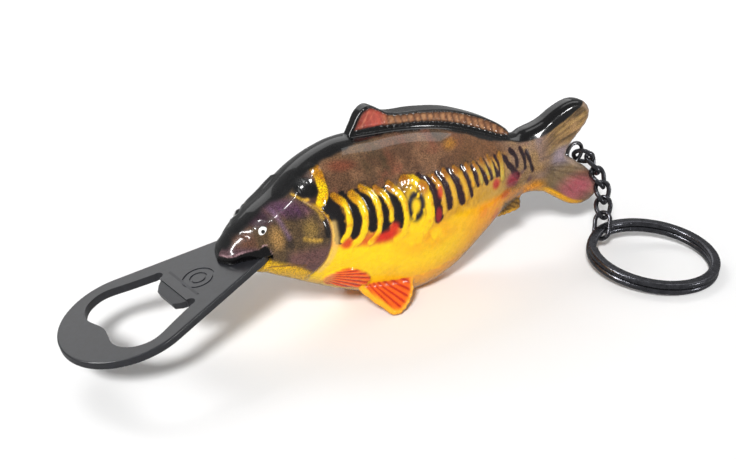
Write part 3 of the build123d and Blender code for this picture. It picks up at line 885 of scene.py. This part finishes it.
def paint_dorsal_face(c, x, y, z, m):
    front = step(69.5, 66.5, x)
    face = plain(x, (0.55, 0.37, 0.25))
    face = mix(face, (0.66, 0.48, 0.33), step(0.4, 0.7, m["fine"]))
    face = mix(face, (0.28, 0.17, 0.12), step(0.2, 0.9, dorsal_rays(x, z)) * 0.6)
    face = mix(face, (0.74, 0.30, 0.26), front * (0.6 + 0.4 * m["mottle"]))
    streaks = noise(1.5 * (x - 0.6 * z), 0.5 * z, 1.0, 17)
    face = mix(face, (0.88, 0.52, 0.40), front * step(0.5, 0.8, streaks) * 0.8)
    face = mix(face, (0.84, 0.36, 0.24), step(63.5, 61.5, x) * 0.5)
    return mix(c, face, m["fin"] * step(0.25, 0.6, m["fin_inside"]) * step(-0.9, -1.5, y))


def skin_colours(x, y, z, m, far_side):
    """Linear colour of each point, and how strongly the printed grain shows there."""
    c = paint_belly(plain(x, YELLOW), x, z, m)
    c = paint_scale_row(c, x, z, m)
    c = paint_upper_flank(c, x, z, m)
    c = paint_tail(c, x, z, m)
    c = paint_scales(c, x, z, m)
    c = paint_head(c, x, z, m)
    c = paint_lower_fins(c, x, z, m)
    back = back_mask(x, z, far_side)
    c = paint_back(c, x, z, back, far_side)
    c = paint_dorsal_face(c, x, y, z, m)
    # painted shade: the mouth's cut faces just above the plate are near black, as the shade inside the
    # mouth
    over_plate = step(-1.2, -0.6, z - plate_z(x))
    mouth_shade = step(0.04, 0.0, near_outline("mouth", x, z)) * step(35, 36, x) * over_plate
    c = mix(c, (0.02, 0.015, 0.015), mouth_shade)
    c = np.clip(c * (0.94 + 0.12 * m["fine"][:, None]), 0.01, 0.99)
    grain = np.clip(m["upper"] + m["head"] + m["rear"], 0, 1) * (1 - back) * m["skin"]
    return np.c_[to_linear(c), 0.15 + (0.85 - 0.35 * m["tail"]) * grain]


def fish_half(name, points, faces, colours, side):
    """One closed half of the fish; side is -1 for the left flank, 1 for its mirror image."""
    points = points * (1, -side, 1)
    if side > 0:
        faces = faces[:, ::-1]
    mesh = bpy.data.meshes.new(name)
    mesh.from_pydata(to_row(points).tolist(), [], faces.tolist())
    layer = mesh.color_attributes.new("paint", "FLOAT_COLOR", "POINT")
    layer.data.foreach_set("color", colours.ravel())
    mesh.color_attributes.active_color = layer
    made = bmesh.new()
    made.from_mesh(mesh)
    for face in made.faces:
        face.smooth = True
    rim = [edge for edge in made.edges if edge.is_boundary]
    cap = bmesh.ops.triangle_fill(made, use_beauty=True, edges=rim)
    for face in [g for g in cap["geom"] if isinstance(g, bmesh.types.BMFace)]:
        face.smooth = False
    for edge in rim:
        edge.smooth = False
    made.to_mesh(mesh)
    made.free()
    half = bpy.data.objects.new(name, mesh)
    bpy.context.scene.collection.objects.link(half)
    return half


def build_fish(cell):
    skin, quads, middle = left_skin(cell)
    g = gradient(skin)
    g[middle, 1] = 0
    normal = g / np.maximum(np.linalg.norm(g, axis=1), 1e-6)[:, None]
    x, y, z = skin.T
    m = masks(x, y, z)
    halves = []
    for far_side, name in enumerate(("fish_left", "fish_right")):
        raised = skin + normal * relief(x, y, z, m, far_side)[:, None]
        colours = skin_colours(x, y, z, m, far_side)
        halves.append(fish_half(name, raised, quads, colours, 2 * far_side - 1))
    return halves


# ---- materials ----------------------------------------------------------------------------
def material(name):
    made = bpy.data.materials.new(name)
    made.use_nodes = True
    nodes = made.node_tree.nodes
    shader = nodes["Principled BSDF"]
    return made, nodes, made.node_tree.links, shader


def noise_node(nodes, links, scale, detail=4.0):
    place = nodes.new("ShaderNodeTexCoord")
    made = nodes.new("ShaderNodeTexNoise")
    made.inputs["Scale"].default_value = scale
    made.inputs["Detail"].default_value = detail
    links.new(place.outputs["Object"], made.inputs["Vector"])
    return made.outputs["Fac"]


def distance_node(nodes, links, centre):
    """Distance from a point, in metres."""
    place = nodes.new("ShaderNodeTexCoord")
    made = nodes.new("ShaderNodeVectorMath")
    made.operation = "DISTANCE"
    made.inputs[1].default_value = centre
    links.new(place.outputs["Object"], made.inputs[0])
    return made.outputs["Value"]


def ramp(nodes, links, value, low, high, out_low, out_high):
    made = nodes.new("ShaderNodeMapRange")
    sockets = {"From Min": low, "From Max": high, "To Min": out_low, "To Max": out_high}
    for socket, number in sockets.items():
        made.inputs[socket].default_value = number
    links.new(value, made.inputs["Value"])
    return made.outputs["Result"]


def mix_colours(nodes, links, amount, first, second, blend="MIX"):
    made = nodes.new("ShaderNodeMix")
    made.data_type = "RGBA"
    made.blend_type = blend
    links.new(amount, made.inputs["Factor"])
    for socket, value in (("A", first), ("B", second)):
        target = [s for s in made.inputs if s.name == socket and s.type == "RGBA"][0]
        if isinstance(value, tuple):
            target.default_value = (*value, 1)
        else:
            links.new(value, target)
    return [s for s in made.outputs if s.type == "RGBA"][0]


def bumped(nodes, links, shader, height, strength, distance):
    bump = nodes.new("ShaderNodeBump")
    bump.inputs["Strength"].default_value = strength
    bump.inputs["Distance"].default_value = distance
    links.new(height, bump.inputs["Height"])
    links.new(bump.outputs["Normal"], shader.inputs["Normal"])


def lacquer():
    """The skin's paint, darkened by printed grain, under a clear coat."""
    made, nodes, links, shader = material("printed_lacquer")
    paint = nodes.new("ShaderNodeVertexColor")
    paint.layer_name = "paint"
    speckle = ramp(nodes, links, noise_node(nodes, links, 4600, 2), 0.40, 0.60, 0.0, 0.62)
    grain = nodes.new("ShaderNodeMath")
    grain.operation = "MULTIPLY"
    links.new(speckle, grain.inputs[0])
    links.new(paint.outputs["Alpha"], grain.inputs[1])
    colour = mix_colours(
        nodes, links, grain.outputs["Value"], paint.outputs["Color"], (0.02, 0.015, 0.01), "MULTIPLY"
    )
    links.new(colour, shader.inputs["Base Color"])
    rough = ramp(nodes, links, noise_node(nodes, links, 600), 0.3, 0.7, 0.22, 0.34)
    links.new(rough, shader.inputs["Roughness"])
    shader.inputs["Coat Weight"].default_value = 1.0
    shader.inputs["Coat Roughness"].default_value = 0.04
    shader.inputs["Coat IOR"].default_value = 1.45
    shader.inputs["Specular IOR Level"].default_value = 0.2
    bumped(nodes, links, shader, noise_node(nodes, links, 420, 2), 0.12, 0.0002)
    return made


WORN_EDGE = 0.00025
WORN_LIGHTER = 2.2


def metal(name, dark, light, roughness, shine, wear):
    """A mottled metal, lighter by wear where the surface turns sharply."""
    made, nodes, links, shader = material(name)
    tone = ramp(nodes, links, noise_node(nodes, links, 900), 0.3, 0.7, 0.0, 1.0)
    colour = mix_colours(nodes, links, tone, dark, light)
    rounded = nodes.new("ShaderNodeBevel")
    rounded.inputs["Radius"].default_value = WORN_EDGE
    rounded.samples = 6
    surface = nodes.new("ShaderNodeNewGeometry")
    agreement = nodes.new("ShaderNodeVectorMath")
    agreement.operation = "DOT_PRODUCT"
    links.new(rounded.outputs["Normal"], agreement.inputs[0])
    links.new(surface.outputs["Normal"], agreement.inputs[1])
    worn = ramp(nodes, links, agreement.outputs["Value"], 0.97, 0.80, 0.0, wear)
    colour = mix_colours(nodes, links, worn, colour, tuple(WORN_LIGHTER * v for v in light))
    links.new(colour, shader.inputs["Base Color"])
    shader.inputs["Metallic"].default_value = shine
    grain = noise_node(nodes, links, 1500)
    rough = ramp(nodes, links, grain, 0.3, 0.7, roughness - 0.03, roughness + 0.04)
    links.new(rough, shader.inputs["Roughness"])
    bumped(nodes, links, shader, noise_node(nodes, links, 900, 2), 0.1 * wear, 0.00001)
    return made


def coated_steel():
    made = metal(
        "black_coated_steel",
        dark=(0.014, 0.014, 0.016),
        light=(0.018, 0.019, 0.023),
        roughness=0.34,
        shine=0.0,
        wear=0.5,
    )
    shader = made.node_tree.nodes["Principled BSDF"]
    shader.inputs["Coat Weight"].default_value = 0.6
    shader.inputs["Coat Roughness"].default_value = 0.16
    return made


def black_nickel():
    return metal(
        "black_nickel",
        dark=(0.075, 0.076, 0.085),
        light=(0.13, 0.132, 0.148),
        roughness=0.25,
        shine=0.95,
        wear=0.06,
    )


def bright_nickel():
    return metal(
        "bright_nickel",
        dark=(0.16, 0.16, 0.17),
        light=(0.26, 0.26, 0.27),
        roughness=0.22,
        shine=1.0,
        wear=0.06,
    )


def eye_material(name, centre):
    """A black pupil in a white eye with a dark rim, round the centre."""
    made, nodes, links, shader = material(name)
    white_tone = noise_node(nodes, links, 3000)
    white = mix_colours(nodes, links, white_tone, (0.75, 0.75, 0.72), (0.9, 0.9, 0.88))
    out = distance_node(nodes, links, centre)
    pupil = ramp(nodes, links, out, 0.00036, 0.00044, 0.0, 1.0)
    colour = mix_colours(nodes, links, pupil, (0.01, 0.01, 0.01), white)
    rim = ramp(nodes, links, out, 0.00092, 0.00102, 0.0, 1.0)
    colour = mix_colours(nodes, links, rim, colour, (0.03, 0.03, 0.03))
    links.new(colour, shader.inputs["Base Color"])
    shader.inputs["Roughness"].default_value = 0.15
    shader.inputs["Coat Weight"].default_value = 1.0
    return made


def floor_paper():
    """Pale paper that stays white away from the object by a weak light of its own."""
    made, nodes, links, shader = material("floor_paper")
    tone = mix_colours(
        nodes, links, noise_node(nodes, links, 60), (0.9, 0.9, 0.9), (0.891, 0.891, 0.891)
    )
    links.new(tone, shader.inputs["Base Color"])
    shader.inputs["Roughness"].default_value = 0.9
    shader.inputs["Specular IOR Level"].default_value = 0.1
    shader.inputs["Emission Color"].default_value = (1, 1, 1, 1)
    away = distance_node(nodes, links, (0, 0, 0))
    links.new(ramp(nodes, links, away, 0.07, 0.30, 0.0, 0.6), shader.inputs["Emission Strength"])
    return made


# ---- the pieces -----------------------------------------------------------------------------
SKIN_CELL = 0.24
skin_material = lacquer()
for half, node in zip(build_fish(SKIN_CELL), ("body_left_half", "body_right_half")):
    half.data.materials.append(skin_material)
    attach(half, "opener")
    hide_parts(node)

NICKEL_PIECES = ["jump_ring", *(f"chain_link_{n}" for n in range(1, 5)), "connecting_link", "split_ring"]
for nodes_in_metal, made in (
    (["opener_plate"], coated_steel()),
    (["tail_eyelet"], bright_nickel()),
    (NICKEL_PIECES, black_nickel()),
):
    for node in nodes_in_metal:
        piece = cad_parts[node]
        piece.data.materials.clear()
        piece.data.materials.append(made)

EYE_RADIUS = 1.05
EYE_FLATNESS = 0.42
EYE_TOP = 0.44
EYE_SUNK = 0.08
EYE_FORWARD, EYE_UPWARD = math.radians(16), math.radians(18)
PUPIL_SHIFT = Vector((-0.28, 0, 0.03))


def eye_dome(node, side):
    """A flattened dome in the eye socket; side is -1 for the left eye, 1 for the right."""
    look = Vector(
        (
            -math.sin(EYE_FORWARD) * math.cos(EYE_UPWARD),
            side * math.cos(EYE_FORWARD) * math.cos(EYE_UPWARD),
            math.sin(EYE_UPWARD),
        )
    )
    seat = Vector((EYE_X, side * EYE_Y, EYE_Z)) - EYE_SUNK * look
    dome = bmesh.new()
    bmesh.ops.create_uvsphere(dome, u_segments=48, v_segments=32, radius=EYE_RADIUS)
    for vertex in dome.verts:
        vertex.co.z *= EYE_FLATNESS
        vertex.co = look.to_track_quat("Z", "Y") @ vertex.co + seat
        vertex.co = Vector(to_row(vertex.co))
    for face in dome.faces:
        face.smooth = True
    mesh = bpy.data.meshes.new(node + "_dome")
    dome.to_mesh(mesh)
    dome.free()
    eye = bpy.data.objects.new(node + "_dome", mesh)
    bpy.context.scene.collection.objects.link(eye)
    pupil = seat + EYE_TOP * look + PUPIL_SHIFT
    eye.data.materials.append(eye_material(node + "_gloss", tuple(to_row(pupil))))
    return eye


for node, side in (("left_eye", -1), ("right_eye", 1)):
    eye = eye_dome(node, side)
    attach(eye, "opener")
    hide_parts(node)

# ---- floor, light and camera -----------------------------------------------------------------
FLOOR_SIZE = 6
FLOOR_Z = -0.0001
bpy.ops.mesh.primitive_plane_add(size=FLOOR_SIZE, location=(0, 0, FLOOR_Z))
floor = bpy.context.object
floor.name = "floor"
floor.data.materials.append(floor_paper())
floor.visible_glossy = False


def area(name, place, aim, size, power, diffuse=True, glossy=True):
    """A rectangular lamp, which can be left out of matt shading or of reflections."""
    lamp = bpy.data.lights.new(name, "AREA")
    lamp.shape = "RECTANGLE"
    lamp.size, lamp.size_y = size
    lamp.energy = power
    made = bpy.data.objects.new(name, lamp)
    bpy.context.scene.collection.objects.link(made)
    made.location = place
    made.rotation_euler = (Vector(aim) - Vector(place)).to_track_quat("-Z", "Y").to_euler()
    made.visible_diffuse = diffuse
    made.visible_glossy = glossy


# two lamps for the matt light and the shadows, then lamps seen only as reflections
area("key_front", (-1.20, -1.19, 1.26), (0, 0, 0.01), (0.30, 0.30), 54, glossy=False)
area("key_back", (-0.10, 0.60, 0.70), (0, 0, 0), (0.40, 0.40), 2.0, glossy=False)
area("softbox_plate", (0.24, 0.74, 0.62), (-0.03, 0, 0), (1.0, 0.5), 1.5, diffuse=False)
area("softbox_flank", (0.48, -0.08, 0.68), (0, 0, 0.03), (0.28, 0.66), 0.9, diffuse=False)
area("glint_right", (0.50, -0.66, 0.05), (0, 0, 0.025), (0.08, 0.13), 1.35, diffuse=False)
area("strip_left", (-0.64, 0.14, 0.50), (-0.04, 0, 0.02), (0.10, 0.46), 5.0, diffuse=False)
area("lamp_a", (-0.37, -0.06, 0.70), (0, 0, 0.02), (0.06, 0.06), 0.5, diffuse=False)
area("lamp_b", (-0.23, 0.0, 0.77), (0, 0, 0.02), (0.06, 0.06), 0.5, diffuse=False)
world = bpy.data.worlds.new("studio")
world.use_nodes = True
sky = world.node_tree.nodes["Background"]
sky.inputs["Color"].default_value = (1, 1, 1, 1)
sky.inputs["Strength"].default_value = 0.26
bpy.context.scene.world = world

CAMERA_PLACE = (-78.6, -205.3, 132.15)
LOOKING_DOWN, LOOKING_RIGHT = math.radians(24.955), math.radians(34.996)
camera_data = bpy.data.cameras.new("camera")
camera_data.lens = 68.48
camera_data.sensor_width = 36
camera_data.clip_start = 0.01
camera = bpy.data.objects.new("camera", camera_data)
bpy.context.scene.collection.objects.link(camera)
camera.location = to_row(CAMERA_PLACE)
camera.rotation_euler = (math.radians(90) - LOOKING_DOWN, 0, -LOOKING_RIGHT)
bpy.context.scene.camera = camera
bpy.context.scene.view_settings.view_transform = "Standard"
